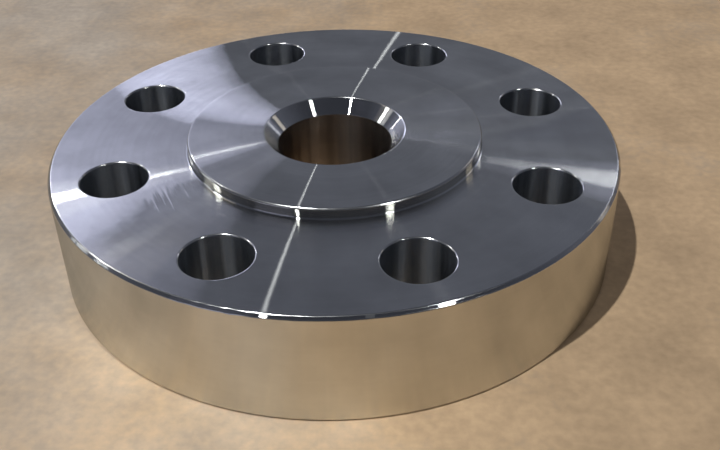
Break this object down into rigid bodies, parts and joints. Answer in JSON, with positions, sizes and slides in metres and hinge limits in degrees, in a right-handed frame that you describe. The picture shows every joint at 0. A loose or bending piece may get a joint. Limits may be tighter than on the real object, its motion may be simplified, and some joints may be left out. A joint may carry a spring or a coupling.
{
  "type": "pipe flange",
  "caption": "Thick round pipe flange in turned bright alloy, with a low raised face, a bore with a conical mouth and a circle of plain bolt holes.",
  "frame": {"origin": "centre of the flat back face that the flange lies on", "axes": "+Z along the bore, up through the raised face; +X midway between two bolt holes"},
  "size_m": [0.23, 0.23, 0.05],
  "materials": {
    "turned_alloy": "fine turned, nearly mirror bright, with circular tool marks on the faces"
  },
  "bodies": {
    "root": {"flange": "turned_alloy"}
  },
  "joints": []
}
